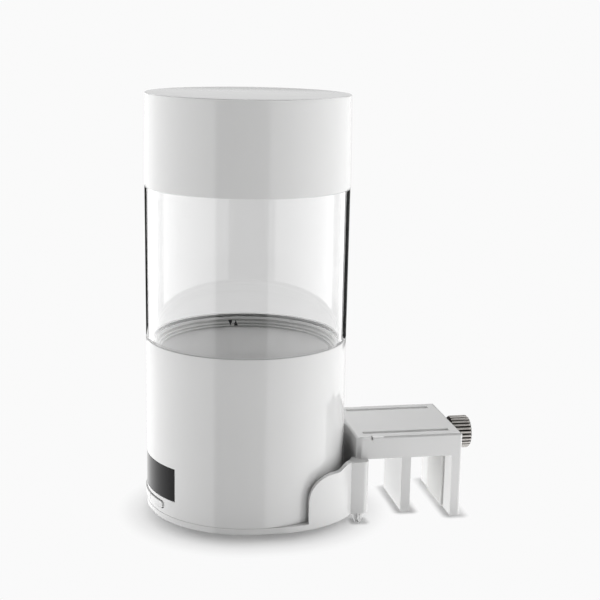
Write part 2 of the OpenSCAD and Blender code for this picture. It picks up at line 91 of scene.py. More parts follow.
# %% [markdown]
# ## Shader maths as plain expressions
#
# A material is a graph of small nodes. Wiring them by hand hides the sum they work out, so one class
# wraps an output socket: plus, minus, times, divide and power add a Math node, and the reflected forms
# let a number stand on the left, as in 1 - mask. Every other kind of node goes through one method.


# %% A socket that can be used in sums
class Wire:
    """An output socket of a shader graph that joins in arithmetic."""

    def __init__(self, socket):
        self.socket = socket
        self.tree = socket.id_data

    def node(self, kind, settings=None, inputs=None, out=0):
        """Adds a node of this kind, sets its options first, then fills or links its sockets."""
        made = self.tree.nodes.new(kind)
        for name, value in (settings or {}).items():
            if name == "stops":
                ramp = made.color_ramp.elements
                while len(ramp) < len(value):
                    ramp.new(0.5)
                for stop, (place, shade) in zip(ramp, value):
                    stop.position, stop.color = place, (*shade, 1)
            else:
                setattr(made, name, value)
        for name, value in (inputs or {}).items():
            if isinstance(value, Wire):
                self.tree.links.new(value.socket, made.inputs[name])
            else:
                made.inputs[name].default_value = value
        return Wire(made.outputs[out]) if len(made.outputs) else None

    def math(self, operation, a, b=0.0):
        """One Math node on two values, each a number or a wire."""
        return self.node("ShaderNodeMath", {"operation": operation}, {0: a, 1: b})

    def __add__(self, other):
        return self.math("ADD", self, other)

    def __sub__(self, other):
        return self.math("SUBTRACT", self, other)

    def __rsub__(self, other):
        return self.math("SUBTRACT", other, self)

    def __mul__(self, other):
        return self.math("MULTIPLY", self, other)

    def __truediv__(self, other):
        return self.math("DIVIDE", self, other)

    def __rtruediv__(self, other):
        return self.math("DIVIDE", other, self)

    def __pow__(self, other):
        return self.math("POWER", self, other)

    __radd__, __rmul__ = __add__, __mul__

    def step(self, low, high):
        """0 below low, 1 above high, and a smooth S between them."""
        settings = {"interpolation_type": "SMOOTHSTEP"}
        return self.node("ShaderNodeMapRange", settings, {0: self, 1: low, 2: high, 3: 0.0, 4: 1.0})

    def band(self, low, high, soft):
        """1 between low and high, falling to 0 over a width of soft at each end."""
        half = soft / 2
        return self.step(low - half, low + half) * (1 - self.step(high - half, high + half))

    def noise(self, scale, detail=2.0, rough=0.5):
        """Cloudy values from 0 to 1 whose blotches are about 1 / scale metres across."""
        inputs = {"Vector": self, "Scale": scale, "Detail": detail, "Roughness": rough}
        return self.node("ShaderNodeTexNoise", None, inputs)

    def cells(self, scale):
        """Distance to the nearest of many scattered points, about 1 / scale metres apart."""
        return self.node("ShaderNodeTexVoronoi", None, {"Vector": self, "Scale": scale})

    def part(self, axis):
        """One number of a vector: 0 is X, 1 is Y, 2 is Z."""
        return self.node("ShaderNodeSeparateXYZ", None, {0: self}, axis)

    def moved(self, place=(0, 0, 0), turn=(0, 0, 0), stretch=(1, 1, 1)):
        """Coordinates moved, turned and stretched, so that a pattern follows a piece."""
        inputs = {"Vector": self, "Location": place, "Rotation": turn, "Scale": stretch}
        return self.node("ShaderNodeMapping", None, inputs)

    def blend(self, low, high):
        """A colour between low and high by this value; the Mix node's colours are sockets 6 and 7."""
        ends = {n: (*v, 1) if isinstance(v, tuple) else v for n, v in ((6, low), (7, high))}
        return self.node("ShaderNodeMix", {"data_type": "RGBA"}, {0: self, **ends}, 2)

    def bump(self, height, strength):
        """A normal tilted by the slopes of this value, with height metres from 0 to 1."""
        inputs = {"Strength": strength, "Distance": height, "Height": self}
        return self.node("ShaderNodeBump", None, inputs)


print("operators ready:", "+ - * / **")

# %% [markdown]
# ## Floor and light
#
# The object stands in a light tent: bright side walls that dim towards the back, sloping panels above
# them, a dim roof, and an opening towards the camera. That opening is what draws the quiet darker band
# down the middle of every glossy wall. Lamps could stand for the tent, but each would show its outline
# in the gloss, so the world itself is the tent, with a brightness for every direction. Seen straight by
# the camera it is plain near-white paper, and seen through the clear bin a slightly greyer backdrop.

# %% Directions in the tent
world = bpy.data.worlds.new("light_tent")
world.use_nodes = True
bpy.context.scene.world = world
world.node_tree.nodes.clear()
compass = Wire(world.node_tree.nodes.new("ShaderNodeTexCoord").outputs["Generated"])


def along(direction, vector):
    """How far a direction points along a fixed vector: their dot product."""
    inputs = {0: direction, 1: tuple(vector)}
    return direction.node("ShaderNodeVectorMath", {"operation": "DOT_PRODUCT"}, inputs, 1)


bearing = compass.math("ARCTAN2", along(compass, to_right), along(compass, -ahead_level))
turned = compass.math("ABSOLUTE", bearing)
rising = compass.part(2)
print("bearing 0 is towards the camera and grows to the right")

# %% Walls of light
OPEN_FROM, OPEN_TO, OPEN_LIGHT = -33, 26, 0.03


def wall_of_light(stops):
    """Brightness by bearing: straight lines between stops of degrees and brightness."""
    most = max(bright for _, bright in stops)
    circle = bearing / (2 * math.pi) + 0.5
    shades = [((degrees + 180) / 360, (bright / most,) * 3) for degrees, bright in stops]
    return most * circle.node("ShaderNodeValToRGB", {"stops": shades}, {0: circle})


walls = wall_of_light([
    (-180, 0.50), (-170, 0.80), (-162, 1.30), (-150, 1.75), (-130, 2.15), (-105, 2.00),
    (-80, 1.60), (-60, 1.22), (OPEN_FROM - 2, 0.88), (OPEN_FROM + 2, OPEN_LIGHT),
    (OPEN_TO - 1, OPEN_LIGHT), (OPEN_TO + 1, 0.70), (45, 0.85), (60, 1.12), (80, 1.42),
    (105, 1.62), (130, 1.62), (150, 1.40), (162, 1.10), (170, 0.80), (180, 0.50)])
slopes = wall_of_light([
    (-145, 2.0), (-125, 0.4), (-60, 0.4), (-40, 0.10), (40, 0.10), (60, 1.8), (120, 2.0)])
print("tent open from", OPEN_FROM, "to", OPEN_TO, "degrees about the camera")

# %% Kinds of light path
ONCE_OR_MORE = (0.2, 0.8)
TWICE = (1.5, 2.5, 0.4)


def path_of(owner):
    """The kinds of light path that reach a world or material: direct, mirrored, clear or bent.

    Direct comes straight from the camera. Mirrored has met a glossy surface. Clear has only been bent by
    clear walls, with no mirror and no matt surface. Bent means into one clear wall and out of it.
    """
    rays = owner.node_tree.nodes.new("ShaderNodeLightPath").outputs
    mirrored = Wire(rays["Glossy Depth"]).step(*ONCE_OR_MORE)
    scattered = Wire(rays["Diffuse Depth"]).step(*ONCE_OR_MORE)
    clear = Wire(rays["Is Transmission Ray"]) * (1 - mirrored) * (1 - scattered)
    bent = Wire(rays["Transmission Depth"]).band(*TWICE)
    return Wire(rays["Is Camera Ray"]), mirrored, clear, bent


direct, mirrored, clear, _ = path_of(world)
print("light paths: direct, mirrored, clear, bent")

# %% The tent
PAPER, BACKDROP, LOW_BACKDROP, ROOF = 0.955, 0.74, 0.78, 0.10
BACK_FROM, BACK_TO = math.radians(125), math.radians(140)
STRIP_LOW, STRIP_HIGH, STRIP_SOFT = 0.02, 0.30, 0.06
SLOPE_FROM, SLOPE_TO, ROOF_FROM, ROOF_TO = 0.25, 0.50, 0.60, 0.85

behind_it = turned.math("MAXIMUM", turned.step(BACK_FROM, BACK_TO), mirrored)
above_paper = rising.band(STRIP_LOW, STRIP_HIGH, STRIP_SOFT) * behind_it
sloping, overhead = rising.step(SLOPE_FROM, SLOPE_TO), rising.step(ROOF_FROM, ROOF_TO)
upright = walls * (1 - above_paper) + LOW_BACKDROP * above_paper
tent = upright * (1 - sloping) + slopes * sloping * (1 - overhead) + ROOF * overhead
seen = direct * PAPER + clear * BACKDROP + (1 - direct - clear) * tent
glow = compass.node("ShaderNodeBackground", None, {"Color": (1, 1, 1, 1), "Strength": seen})
compass.node("ShaderNodeOutputWorld", None, {"Surface": glow})
print("paper", PAPER, "backdrop", BACKDROP, "roof", ROOF)

# %% [markdown]
# Photographers stand black cards just out of view behind clear plastic. At the edges of the bin the wall
# bends the view far sideways, meets the cards, and so draws the dark lines that make the clear tube
# readable. Lines painted on the bin would stay put when the view moves, and real cards don't. Glossy
# walls mirror the cards too, where they are low; they are tall only for light bent in the bin's wall.

# %% Black cards
CARD_LOW, CARD_HIGH, CARD_SOFT, CARD_GREY = -4.0, 74.2, 0.1, 0.045
FOR_BENT_LOW, FOR_BENT_HIGH = -150.0, 220.0
CARD_ENDS = {  # each end lies so far to the right of the drum's axis and so far behind it
    "right_card": [(168, 205), (63, 245)],
    "left_card": [(-165, 225), (-8, 245)],
}
card_black = bpy.data.materials.new("card_black")
card_black.use_nodes = True
card_black.node_tree.nodes.clear()
_, mirrored, _, bent = path_of(card_black)
card_z = Wire(card_black.node_tree.nodes.new("ShaderNodeTexCoord").outputs["Object"]).part(2)
low_card = card_z.band(CARD_LOW * MM, CARD_HIGH * MM, CARD_SOFT * MM)
on_card = mirrored.math("MAXIMUM", low_card, bent)
black = mirrored.node("ShaderNodeBsdfDiffuse", None, {"Color": (CARD_GREY, CARD_GREY, CARD_GREY, 1)})
passed = mirrored.node("ShaderNodeBsdfTransparent")
shut = mirrored.node("ShaderNodeMixShader", None, {0: mirrored * on_card, 1: passed, 2: black})
mirrored.node("ShaderNodeOutputMaterial", None, {"Surface": shut})
for name, ends in CARD_ENDS.items():
    ends = np.array([right * to_right + back * ahead_level for right, back in ends])
    low, high = ends + [0, 0, FOR_BENT_LOW], ends + [0, 0, FOR_BENT_HIGH]
    card_mesh = bpy.data.meshes.new(name)
    card_mesh.from_pydata(np.concatenate([low, high[::-1]]) * MM, [], [(0, 1, 2, 3)])
    card_mesh.materials.append(card_black)
    card = bpy.data.objects.new(name, card_mesh)
    card.visible_camera = card.visible_diffuse = card.visible_shadow = False
    bpy.context.scene.collection.objects.link(card)
print("cards:", len(CARD_ENDS), "up to", CARD_HIGH, "mm")

# %% [markdown]
# The floor is the same pale paper. Close to the object it is a matt sheet that takes a soft shadow, and
# further out it shows the paper's own white, so that no horizon is seen. Light from below comes from the
# open floor and from a brighter reflector laid in front of the clamp. Mirrored rays pass through the
# sheet, because the tent's walls reach down to the ground in the gloss.

# %% Floor sheet
FLOOR_Z, FLOOR_HALF_M = -3.4, 3.0

floor_mesh = bpy.data.meshes.new("floor")
corners = np.array([[-1, -1], [1, -1], [1, 1], [-1, 1]]) * FLOOR_HALF_M
floor_mesh.from_pydata([(x, y, FLOOR_Z * MM) for x, y in corners], [], [(0, 1, 2, 3)])
floor = bpy.data.objects.new("floor", floor_mesh)
bpy.context.scene.collection.objects.link(floor)
print("floor at", FLOOR_Z, "mm")

# %% Where the floor takes the shadow
SHADE_REACH = 6.5  # how far the middle of the drum's shadow runs out towards the clamp
CORE_SHARE, CORE_FROM, CORE_TO = 0.65, 25.6, 36.6
WIDE_SHARE, WIDE_FROM, WIDE_TO = 0.35, 33.0, 44.0
FOOT_FROM, FOOT_TO = 0.3, 3.6
FEET = [  # middle x and y, half width in x and in y: end jaw, sliding jaw, two posts
    (69.0, 0, 1.8, 17.4), (53.3, 0, 1.6, 11.5), (35.2, -17.5, 1.5, 1.5), (35.2, 17.5, 1.5, 1.5)]

paper = bpy.data.materials.new("pale_paper")
paper.use_nodes = True
paper.node_tree.nodes.clear()
spot = Wire(paper.node_tree.nodes.new("ShaderNodeTexCoord").outputs["Object"])
east, north = spot.part(0), spot.part(1)
inside = spot.math("MINIMUM", spot.math("MAXIMUM", east, 0.0), SHADE_REACH * MM)
from_body = ((east - inside) * (east - inside) + north * north) ** 0.5
core = from_body.step(CORE_FROM * MM, CORE_TO * MM)
wide = from_body.step(WIDE_FROM * MM, WIDE_TO * MM)
near = 1 - CORE_SHARE * core - WIDE_SHARE * wide


def away_from(x, y, half_x, half_y):
    """Distance from a rectangle on the floor: how far outside it each way, squared, summed, rooted."""
    out_x = spot.math("MAXIMUM", spot.math("ABSOLUTE", east - x * MM) - half_x * MM, 0.0)
    out_y = spot.math("MAXIMUM", spot.math("ABSOLUTE", north - y * MM) - half_y * MM, 0.0)
    return (out_x * out_x + out_y * out_y) ** 0.5


for foot in FEET:
    under = 1 - away_from(*foot).step(FOOT_FROM * MM, FOOT_TO * MM)
    near = spot.math("MAXIMUM", near, under)
print("shadow round the drum and", len(FEET), "feet")

# %% Paper that is lit close by and plain far off
PAPER_GREY, LIFT, BOUNCE, REFLECTED = 0.80, 0.10, 0.52, 0.90
OPEN_FLOOR_FROM, OPEN_FLOOR_TO = 34.0, 44.0
REFLECTOR, REFLECTOR_SOFT = (85, -75, 45, 45), 10.0

open_floor = from_body.step(OPEN_FLOOR_FROM * MM, OPEN_FLOOR_TO * MM)
on_reflector = 1 - away_from(*REFLECTOR).step(0.0, REFLECTOR_SOFT * MM)
direct, mirrored, clear, _ = path_of(paper)
shown = direct + clear


def mixed(factor, first, second):
    """A Mix Shader: first where factor is 0, second where it is 1."""
    return spot.node("ShaderNodeMixShader", None, {0: factor, 1: first, 2: second})


lit = spot.node("ShaderNodeBsdfDiffuse", None, {"Color": (PAPER_GREY, PAPER_GREY, PAPER_GREY, 1)})
lift, bounce, reflector, plain, behind, dark = (
    spot.node("ShaderNodeEmission", None, {"Strength": strength})
    for strength in (LIFT, BOUNCE, REFLECTED, PAPER, BACKDROP, 0.0))
bounced = mixed(open_floor, dark, mixed(on_reflector, bounce, reflector))
shaded = spot.node("ShaderNodeAddShader", None, {0: lit, 1: mixed(shown, bounced, lift)})
blended = mixed(shown * (1 - near), shaded, mixed(clear, plain, behind))
sheet = mixed(mirrored, blended, spot.node("ShaderNodeBsdfTransparent"))
spot.node("ShaderNodeOutputMaterial", None, {"Surface": sheet})
floor_mesh.materials.append(paper)
print("floor finish:", paper.name)

# %% [markdown]
# ## Finishes
#
# Real moulded plastic is never one even colour: its gloss drifts a little, and the surface carries a
# fine orange-peel ripple from the mould. Each finish below starts from one shader, sets the numbers
# that are the same all over on the shader itself, and lets noise vary only colour, roughness and the
# normal. Patterns read Object coordinates, which are metres in the CAD frame.


# %% A shader to start from
def new_finish(name, constants):
    """A Principled material with fixed values on its own sockets; gives material, shader, place."""
    material = bpy.data.materials.new(name)
    material.use_nodes = True
    tree = material.node_tree
    shader = next(n for n in tree.nodes if n.type == "BSDF_PRINCIPLED")
    for socket, value in constants.items():
        shader.inputs[socket].default_value = value
    place = Wire(tree.nodes.new("ShaderNodeTexCoord").outputs["Object"])
    return material, shader, place


def feed(shader, **wires):
    """Links wires to the shader's sockets, named with underscores for blanks."""
    for name, wire in wires.items():
        shader.id_data.links.new(wire.socket, shader.inputs[name.replace("_", " ")])


print("finishes start from one shader and read places in metres")

# %% Moulded plastics and silicone
CLOUDS, DRIFT, PEEL, PEEL_STRENGTH = 35.0, 0.08, 900.0, 0.25


def moulded(name, low, high, gloss, ripple, ior=1.5, grain=PEEL):
    """Plastic: colour drifts from low to high, roughness about gloss, ripple millimetres of peel."""
    material, shader, place = new_finish(name, {"IOR": ior})
    clouds = place.noise(CLOUDS, 3.0)
    feed(
        shader,
        Base_Color=clouds.blend(low, high),
        Roughness=clouds * DRIFT + (gloss - DRIFT / 2),
        Normal=place.noise(grain).bump(ripple * MM, PEEL_STRENGTH),
    )
    print("plastic:", name)
    return material


gloss_white = moulded(
    "gloss_white", (0.765, 0.765, 0.761), (0.795, 0.795, 0.792), 0.10, 0.004, 1.75, 260.0)
inner_white = moulded("inner_white", (0.800, 0.800, 0.795), (0.840, 0.840, 0.835), 0.30, 0.010)
dark_plastic = moulded("dark_plastic", (0.018, 0.019, 0.021), (0.030, 0.031, 0.034), 0.35, 0.010)
nylon = moulded("nylon", (0.66, 0.61, 0.47), (0.72, 0.67, 0.53), 0.42, 0.012)
pale_silicone = moulded("pale_silicone", (0.86, 0.86, 0.85), (0.90, 0.90, 0.89), 0.55, 0.020)

# %% [markdown]
# The bin is clear plastic that bends light, with a breath of haze. The display is off behind its smoked
# window, so from outside the window is nearly black; an opaque dark gloss looks the same as a tinted
# sheet over a dark room, and has no noise in it.

# %% Clear bin and smoked window
clear_wall, shader, place = new_finish("clear_wall", {"IOR": 1.60, "Transmission Weight": 1.0})
haze = place.noise(60.0, 3.0)
feed(
    shader,
    Base_Color=haze.blend((0.980, 0.980, 0.980), (0.993, 0.993, 0.993)),
    Roughness=haze * 0.02,
)

smoked, shader, place = new_finish("smoked_window", {"IOR": 1.49, "Specular IOR Level": 0.09})
cloud = place.noise(90.0, 3.0)
feed(
    shader,
    Base_Color=cloud.blend((0.004, 0.004, 0.005), (0.009, 0.009, 0.010)),
    Roughness=cloud * 0.05 + 0.05,
)
print("clear:", clear_wall.name, smoked.name)

# %% [markdown]
# The floor of the hopper is stippled, so that pellets don't cling to it: fine grit from noise, with pits
# from scattered points, in the colour and in the normal alike. The colour is darker where the bump
# sinks, which is painted shade in the hollows.

# %% Stippled hopper floor
stippled, shader, place = new_finish("stippled_grey", {"IOR": 1.5})
grit = place.noise(1500.0, 4.0, 0.7)
pits = place.cells(1100.0).step(0.05, 0.45)
feed(
    shader,
    # Painted shade: the colour darkens with the same grit and pits that sink the surface.
    Base_Color=(grit * 0.6 + pits * 0.4).blend((0.85, 0.85, 0.85), (0.985, 0.985, 0.98)),
    Roughness=grit * 0.2 + 0.45,
    Normal=(pits * 0.6 + grit * 0.4).bump(0.12 * MM, 0.6),
)
print("floor finish:", stippled.name)

# %% [markdown]
# Turned metal shows fine lines where the tool went round. Noise that is stretched far more one way than
# the others gives them. The knob is blackened steel, and its ridges carry a painted highlight: a
# lighter, less metallic colour that follows the distance from the screw's axis, so only the crests have
# it.


# %% Metals
def metal(name, low, high, gloss):
    """Metal with fine turning lines: noise drawn out across X, in colour, gloss and normal."""
    material, shader, place = new_finish(name, {"Metallic": 1.0})
    lines = place.moved(stretch=(1.0, 0.04, 0.04)).noise(2600.0)
    stain = place.noise(220.0, 3.0)
    feed(
        shader,
        Base_Color=(lines * 0.5 + stain * 0.5).blend(low, high),
        Roughness=stain * 0.14 + (gloss - 0.07),
        Normal=lines.bump(0.004 * MM, 0.35),
    )
    return material


steel = metal("turned_steel", (0.50, 0.49, 0.48), (0.64, 0.63, 0.61), 0.26)
brass = metal("brass", (0.62, 0.45, 0.20), (0.74, 0.56, 0.28), 0.28)

SCREW_Z, CREST_LIGHT_FROM, CREST_LIGHT_TO = 20.4, 5.22, 5.50
dark_steel, shader, place = new_finish("dark_steel", {"IOR": 1.5})
off_axis = place.moved((0, 0, -SCREW_Z * MM))
side, rise = off_axis.part(1), off_axis.part(2)
from_axis = (side * side + rise * rise) ** 0.5
blotches = off_axis.noise(700.0, 3.0) * 0.4 + 0.8
# Painted highlight: the crests are lighter and less metallic by their distance from the screw's axis.
crest_highlight = from_axis.step(CREST_LIGHT_FROM * MM, CREST_LIGHT_TO * MM) * blotches
feed(
    shader,
    Base_Color=crest_highlight.blend((0.030, 0.026, 0.024), (0.68, 0.65, 0.62)),
    Metallic=1 - crest_highlight * 0.65,
    Roughness=0.42 - crest_highlight * 0.16,
)
print("metals:", steel.name, dark_steel.name, brass.name)

# %% [markdown]
# The electrics are hidden, and still get their own look: a board with tracks from a brick pattern and
# tinned pads from scattered points, and a battery in a wrinkled sleeve with a bare end.

# %% Circuit board and battery sleeve
board, shader, place = new_finish("circuit_board", {"IOR": 1.5})
flat = place.moved(turn=(0, math.pi / 2, 0))
tracks = flat.node(
    "ShaderNodeTexBrick",
    {"offset": 0.4},
    {"Vector": flat, "Scale": 260.0, "Mortar Size": 0.05,
     "Color1": (0, 0, 0, 1), "Color2": (0.15, 0.15, 0.15, 1), "Mortar": (1, 1, 1, 1)},
    1,
)
pads = 1 - place.cells(330.0).step(0.10, 0.16)
laid = tracks.blend((0.010, 0.085, 0.040), (0.020, 0.150, 0.070))
feed(
    shader,
    Base_Color=pads.blend(laid, (0.62, 0.52, 0.27)),
    Roughness=0.42 - pads * 0.16,
    Normal=(tracks * 0.4 + pads * 0.6).bump(0.03 * MM, 0.5),
)

BARE_FROM, BARE_TO = 33.5, 34.5
sleeve, shader, place = new_finish("battery_sleeve", {"IOR": 1.5})
wrinkle = place.moved(stretch=(1.0, 1.0, 0.25)).noise(500.0, 3.0)
bare_end = place.part(2).step(BARE_FROM * MM, BARE_TO * MM)
feed(
    shader,
    Base_Color=bare_end.blend((0.035, 0.120, 0.260), (0.55, 0.55, 0.54)),
    Roughness=wrinkle * 0.15 + 0.25,
    Normal=wrinkle.bump(0.05 * MM, 0.4),
)
print("electrics:", board.name, sleeve.name)

# %% [markdown]
# ## From numbers to a mesh
#
# Each new piece is a surface worked out on a grid. The first helper joins the grid's neighbours with
# quads, the second puts one or more such patches into a mesh, welds the seams and poles, and hands
# the piece to the body that it moves with. Edges sharper than a limit stay crisp; all others shade
# smoothly.


# %% Patches
def quads(rows, columns, wrap_rows=False, wrap_columns=False):
    """Corner numbers of the quads between neighbours: step along the columns, then along the rows."""
    i = np.arange(rows if wrap_rows else rows - 1)
    j = np.arange(columns if wrap_columns else columns - 1)
    a, b = np.meshgrid(i, j, indexing="ij")
    a2, b2 = (a + 1) % rows, (b + 1) % columns
    return np.stack([a * columns + b, a * columns + b2, a2 * columns + b2, a2 * columns + b], -1)


def patch(points, wrap_rows=False, wrap_columns=False, keep=None, flip=False):
    """A grid of points in millimetres with its quads; keep drops some quads, flip turns them over."""
    rows, columns = points.shape[:2]
    faces = quads(rows, columns, wrap_rows, wrap_columns)
    faces = faces.reshape(-1, 4) if keep is None else faces[keep]
    return points.reshape(-1, 3), faces[:, ::-1] if flip else faces


print("a grid of 3 by 4 points has", len(patch(np.zeros((3, 4, 3)))[1]), "quads")


# %% Pieces
WELD_M, SLIVER_M = 1e-6, 1e-7


def dress(obj, body, nodes, material):
    """Gives a finished piece its material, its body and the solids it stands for."""
    obj.data.materials.clear()
    obj.data.materials.append(material)
    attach(obj, body)
    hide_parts(*nodes)


def piece(name, patches, body, nodes, material, crisp=40):
    """Joins patches into one mesh, welds points closer than a micron and shades it smoothly."""
    starts = np.cumsum([0] + [len(p) for p, _ in patches])
    points = np.concatenate([p for p, _ in patches]) * MM
    faces = np.concatenate([f + s for (_, f), s in zip(patches, starts)])
    mesh = bpy.data.meshes.new(name)
    mesh.from_pydata(points, [], faces.tolist())
    weld = bmesh.new()
    weld.from_mesh(mesh)
    bmesh.ops.remove_doubles(weld, verts=weld.verts, dist=WELD_M)
    bmesh.ops.dissolve_degenerate(weld, edges=weld.edges, dist=SLIVER_M)
    weld.to_mesh(mesh)
    weld.free()
    mesh.shade_smooth()
    mesh.set_sharp_from_angle(angle=math.radians(crisp))
    obj = bpy.data.objects.new(name, mesh)
    bpy.context.scene.collection.objects.link(obj)
    dress(obj, body, nodes, material)
    print(name, len(mesh.vertices), "points,", len(mesh.polygons), "faces")


print("points closer than", WELD_M / MM, "mm are welded")

# %% Profiles
TURN, NEARLY_STRAIGHT = 256, 1.565


def rounded(corners, radius, steps=5):
    """A polyline with its corners rounded: each corner becomes an arc that touches both of its sides.

    The arc starts and ends radius / tan(half the angle) from the corner, and its points are the corner's
    bisector centre plus the radius in turning directions. radius is one number, or one per corner.
    """
    corners = np.asarray(corners, float)
    radii = np.broadcast_to(radius, len(corners))
    before, after = np.roll(corners, 1, 0), np.roll(corners, -1, 0)
    made = []
    for p, a, b, r in zip(corners, before, after, radii):
        u, v = unit(a - p), unit(b - p)
        half = math.acos(np.clip(u @ v, -1, 1)) / 2
        if r <= 0 or half > NEARLY_STRAIGHT:
            made.append(p[None])
            continue
        centre = p + unit(u + v) * r / math.sin(half)
        t = np.linspace(0, 1, steps + 1)[:, None]
        start, end = p + u * r / math.tan(half), p + v * r / math.tan(half)
        swing = (1 - t) * (start - centre) + t * (end - centre)
        made.append(centre + r * swing / np.linalg.norm(swing, axis=1, keepdims=True))
    return np.concatenate(made)


def held(low, high, near_low, near_high):
    """A straight wall's two ends with one more point near each, at these shares of its length."""
    low, high = np.array(low), np.array(high)
    return [low, low + (high - low) * near_low, high + (low - high) * near_high, high]


def revolve(profile, turn=TURN, wave=None):
    """Each profile point (r, z) swung round the Z axis: x = r cos a, y = r sin a, z stays."""
    r, z = np.asarray(profile, float).T
    a = np.linspace(0, 2 * np.pi, turn, endpoint=False)
    reach = np.repeat(r[:, None], turn, 1) if wave is None else wave(r[:, None], z[:, None], a[None])
    return np.stack([reach * np.cos(a), reach * np.sin(a), np.repeat(z[:, None], turn, 1)], -1)


print("lathe shapes have", TURN, "steps round")

# %% [markdown]
# ## Lid
#
# The lid is a plain drum turned upside down over the bin's rim, a little wider at its lower edge so
# that it leaves the mould. A lathe shape needs only its profile; the tight top edge and the tiny radius
# at the mouth are what catch the light. Smooth shading blends the normals along a whole face, so a long
# wall that ends in round edges would look bent from end to end: a point close to each end holds the
# bend there.

# %% Lid
BODY_R, SEAM_Z, LID_SEAM, TOP_Z = 33.0, 57.45, 107.1, 136.6
LID_IN, LID_OUT, LID_TOP_T = 31.9, 33.36, 2.2

lid_wall = held((LID_OUT, LID_SEAM), (BODY_R, TOP_Z), near_low=0.015, near_high=0.03)
lid_corners = [(0, TOP_Z - LID_TOP_T), (LID_IN, TOP_Z - LID_TOP_T), (LID_IN, LID_SEAM),
               *lid_wall, (0, TOP_Z)]
lid_radii = [0, 1.2, 0.3, 0.12, 0, 0, 0.24, 0]
lid_surface = patch(revolve(rounded(lid_corners, lid_radii, 8)), wrap_columns=True)
piece("lid_shell", [lid_surface], "cover", ["lid"], gloss_white)

# %% [markdown]
# ## Clear bin
#
# The bin is one clear moulding: a neck that drops into the base, the tube that shows the food, and a
# rim with a groove for the lid's seal. Light bends only at closed surfaces, so both faces of the wall
# are modelled, as one closed profile turned round the axis. A clear wall shows the smallest tilt of a
# normal, so both of its faces have holding points near their ends.

# %% Clear bin
NECK_LOW, NECK_OUT, BIN_IN, TUBE_IN, COLLAR_TOP = 52.7, 31.7, 30.4, 31.0, 56.8
RIM_OUT, RIM_IN, RIM_TOP, BIN_TOP_R = 31.6, 30.2, 117.6, 33.2
GROOVE_Z, GROOVE_TOP, GROOVE_R = 112.1, 112.1 + 1.6, 31.1
SEAM_GAP, LID_GAP = 0.12, 0.02
BIN_LOW, BIN_HIGH = SEAM_Z + SEAM_GAP, LID_SEAM - LID_GAP
TUBE_HEIGHTS = [LID_SEAM - 0.3, LID_SEAM - 0.9, COLLAR_TOP + 0.6, COLLAR_TOP + 0.1]

bin_corners = [
    (BIN_IN, NECK_LOW), (NECK_OUT, NECK_LOW), (NECK_OUT, BIN_LOW),
    *held((BODY_R, BIN_LOW), (BIN_TOP_R, BIN_HIGH), near_low=0.012, near_high=0.006),
    (RIM_OUT, BIN_HIGH), (RIM_OUT, GROOVE_Z), (GROOVE_R, GROOVE_Z), (GROOVE_R, GROOVE_TOP),
    (RIM_OUT, GROOVE_TOP), (RIM_OUT, RIM_TOP), (RIM_IN, RIM_TOP), (RIM_IN, GROOVE_Z),
    *((TUBE_IN, z) for z in TUBE_HEIGHTS), (BIN_IN, COLLAR_TOP - 0.5)]
bin_radii = [0.3, 0.3, 0, 0.17, 0, 0, 0.08, 0, 0, 0, 0, 0, 0.5, 0.3, 0.5, 0.5, 0, 0, 0.15, 0.15]
bin_surface = patch(revolve(rounded(bin_corners, bin_radii)), True, True)
piece("clear_bin", [bin_surface], "bin", ["food_bin"], clear_wall)

# %% [markdown]
# ## Hopper ring
#
# Under the bin sits the ring that seals its neck. Inside it steps down like a funnel to the floor, with
# a narrow groove under each step, and those grooves are the fine dark lines that show through the clear
# wall; their darkness is painted shade, a darker colour in the grooves' height bands. Two small wedges
# on one side show how the bin is turned to lock it; they are printed, so they are a colour in the finish
# and not a shape.

# %% Wedges on the ring
MARK_LOW, MARK_TALL, MARK_WIDE, MARK_GAP, MARK_SOFT = 53.9, 1.75, 1.5, 1.9, 0.05
MARK_TURN, MARK_FROM, MARK_FULL = math.radians(12), 20.0, 21.0

ring_white, shader, place = new_finish("ring_white", {"IOR": 1.5})
mark_side = math.cos(MARK_TURN) * to_right + math.sin(MARK_TURN) * ahead_level
mark_out = math.cos(MARK_TURN) * ahead_level - math.sin(MARK_TURN) * to_right
sideways = along(place, mark_side / MM)
height = place.part(2) / MM
share_up = (height - MARK_LOW) / MARK_TALL
far_side = along(place, mark_out / MM).step(MARK_FROM, MARK_FULL)
off_left = place.math("ABSOLUTE", sideways + MARK_GAP / 2)
off_right = place.math("ABSOLUTE", sideways - MARK_GAP / 2)
wedges = place.math(
    "MAXIMUM",
    (share_up * (MARK_WIDE / 2) - off_left).step(-MARK_SOFT, MARK_SOFT),
    ((1 - share_up) * (MARK_WIDE / 2) - off_right).step(-MARK_SOFT, MARK_SOFT))
printed = wedges * (share_up.band(0.0, 1.0, MARK_SOFT) * far_side)
print("wedges", MARK_TALL, "mm tall")

# %% Ring finish
RING_GROOVES = [(55.35, 56.00), (54.40, 54.75), (53.60, 53.95)]
RING_GLOSS, GROOVE_SOFT = 0.30, 0.08

clouds = place.noise(CLOUDS, 3.0)
# Painted shade: the colour darkens in the grooves' height bands, where shade falls, so the lines read
# dark.
painted_groove_shade = sum(height.band(low, high, GROOVE_SOFT) for low, high in RING_GROOVES)
plain_white = clouds.blend((0.910, 0.910, 0.905), (0.940, 0.940, 0.935))
groove_shaded_white = painted_groove_shade.blend(plain_white, (0.62, 0.62, 0.61))
feed(
    shader,
    Base_Color=printed.blend(groove_shaded_white, (0.020, 0.020, 0.022)),
    Roughness=clouds * DRIFT + (RING_GLOSS - DRIFT / 2),
    Normal=place.noise(PEEL).bump(0.010 * MM, PEEL_STRENGTH),
)
print("ring finish:", ring_white.name, "with", len(RING_GROOVES), "grooves")

